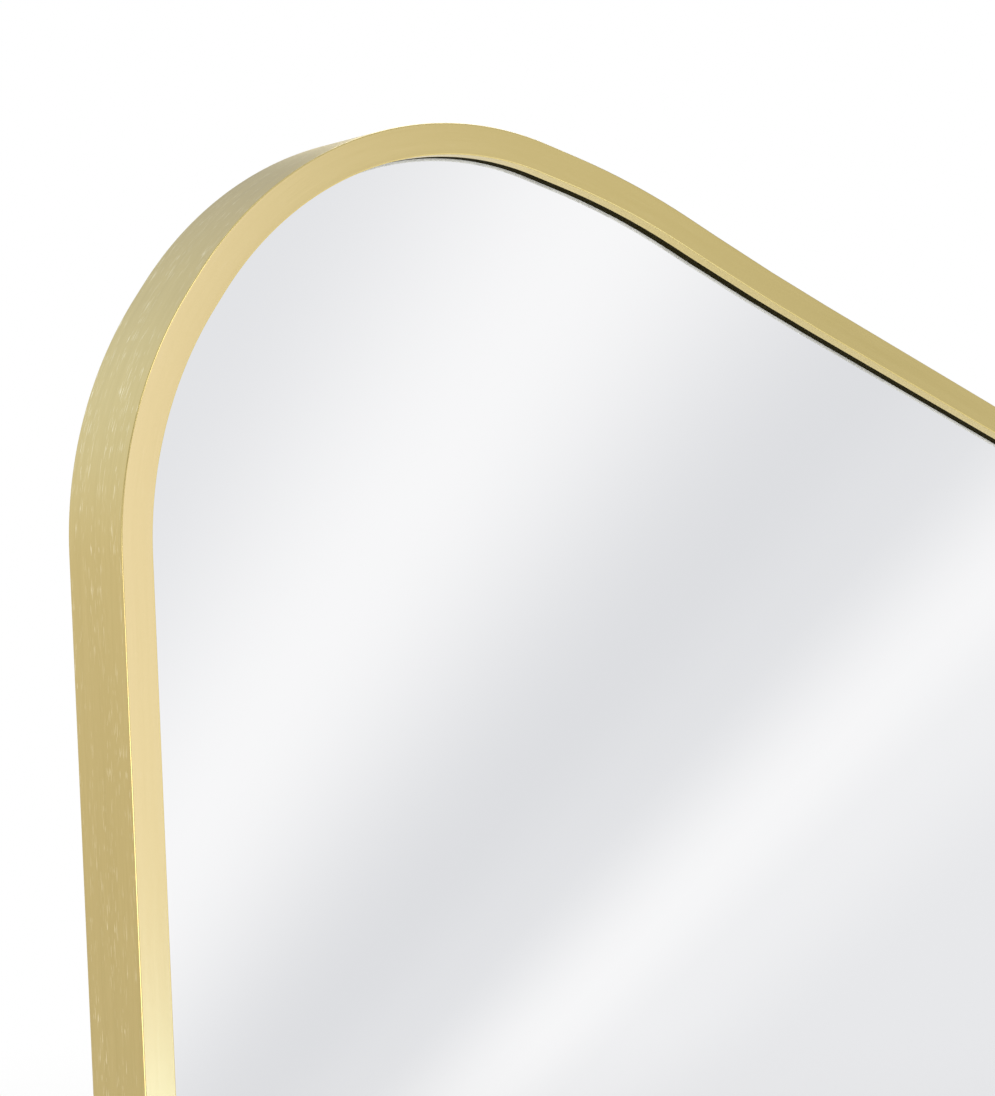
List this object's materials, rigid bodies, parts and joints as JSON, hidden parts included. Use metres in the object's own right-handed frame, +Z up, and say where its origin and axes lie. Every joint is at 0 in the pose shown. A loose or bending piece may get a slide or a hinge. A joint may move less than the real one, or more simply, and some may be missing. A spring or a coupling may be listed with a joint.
{
  "type": "irregular wall mirror",
  "caption": "Wall mirror of irregular rounded outline in a deep, narrow, brushed gold metal frame, with swinging D-ring hangers on its back.",
  "frame": {"origin": "on the wall plane behind the mirror, midway across and up the outline's box", "axes": "+X to the right seen from the front, +Y into the wall, +Z up"},
  "size_m": [0.61, 0.0365, 0.913],
  "materials": {
    "frame": "brushed, anodised gold",
    "gasket": "black extruded rubber",
    "seal": "pale translucent sealing lip",
    "pane": "clear float glass, arrised edge",
    "silver": "silvered, painted back",
    "film": "safety film",
    "foam": "adhesive foam strip",
    "board": "raw fibreboard",
    "block": "moulded rubber",
    "steel": "zinc plated",
    "key": "mill finish",
    "pad": "soft rubber"
  },
  "bodies": {
    "mirror": {"backboard": "board", "bumper_pad_1": "pad", "bumper_pad_2": "pad", "bumper_pad_3": "pad", "bumper_pad_4": "pad", "clip_screws": "steel", "foam_strip_1": "foam", "foam_strip_2": "foam", "foam_strip_3": "foam", "foam_strip_4": "foam", "foam_strip_5": "foam", "frame_profile": "frame", "glazing_gasket": "gasket", "hanger_plate_side_bottom": "steel", "hanger_plate_side_top": "steel", "hanger_plate_upper_left": "steel", "hanger_plate_upper_right": "steel", "hanger_screws": "steel", "mirror_glass": "pane", "retaining_clip_1": "steel", "retaining_clip_10": "steel", "retaining_clip_2": "steel", "retaining_clip_3": "steel", "retaining_clip_4": "steel", "retaining_clip_5": "steel", "retaining_clip_6": "steel", "retaining_clip_7": "steel", "retaining_clip_8": "steel", "retaining_clip_9": "steel", "safety_film": "film", "seal_lip": "seal", "setting_block_1": "block", "setting_block_2": "block", "setting_block_3": "block", "setting_block_4": "block", "silver_backing": "silver", "splice_key": "key", "splice_screws": "steel"},
    "ring_upper_left": {"hanger_ring_upper_left": "steel"},
    "ring_upper_right": {"hanger_ring_upper_right": "steel"},
    "ring_side_top": {"hanger_ring_side_top": "steel"},
    "ring_side_bottom": {"hanger_ring_side_bottom": "steel"}
  },
  "joints": [
    {"name": "ring_upper_left_swing", "type": "hinge", "parent": "mirror", "child": "ring_upper_left", "pos_m": [-0.23157, -0.01265, 0.18], "axis": [1, 0, 0], "range_deg": [0, 175]},
    {"name": "ring_upper_right_swing", "type": "hinge", "parent": "mirror", "child": "ring_upper_right", "pos_m": [0.23767, -0.01265, 0.18], "axis": [1, 0, 0], "range_deg": [0, 175]},
    {"name": "ring_side_top_swing", "type": "hinge", "parent": "mirror", "child": "ring_side_top", "pos_m": [-0.21494, -0.01265, 0.255], "axis": [0, 0, 1], "range_deg": [0, 175]},
    {"name": "ring_side_bottom_swing", "type": "hinge", "parent": "mirror", "child": "ring_side_bottom", "pos_m": [-0.21494, -0.01265, -0.215], "axis": [0, 0, 1], "range_deg": [0, 175]}
  ]
}
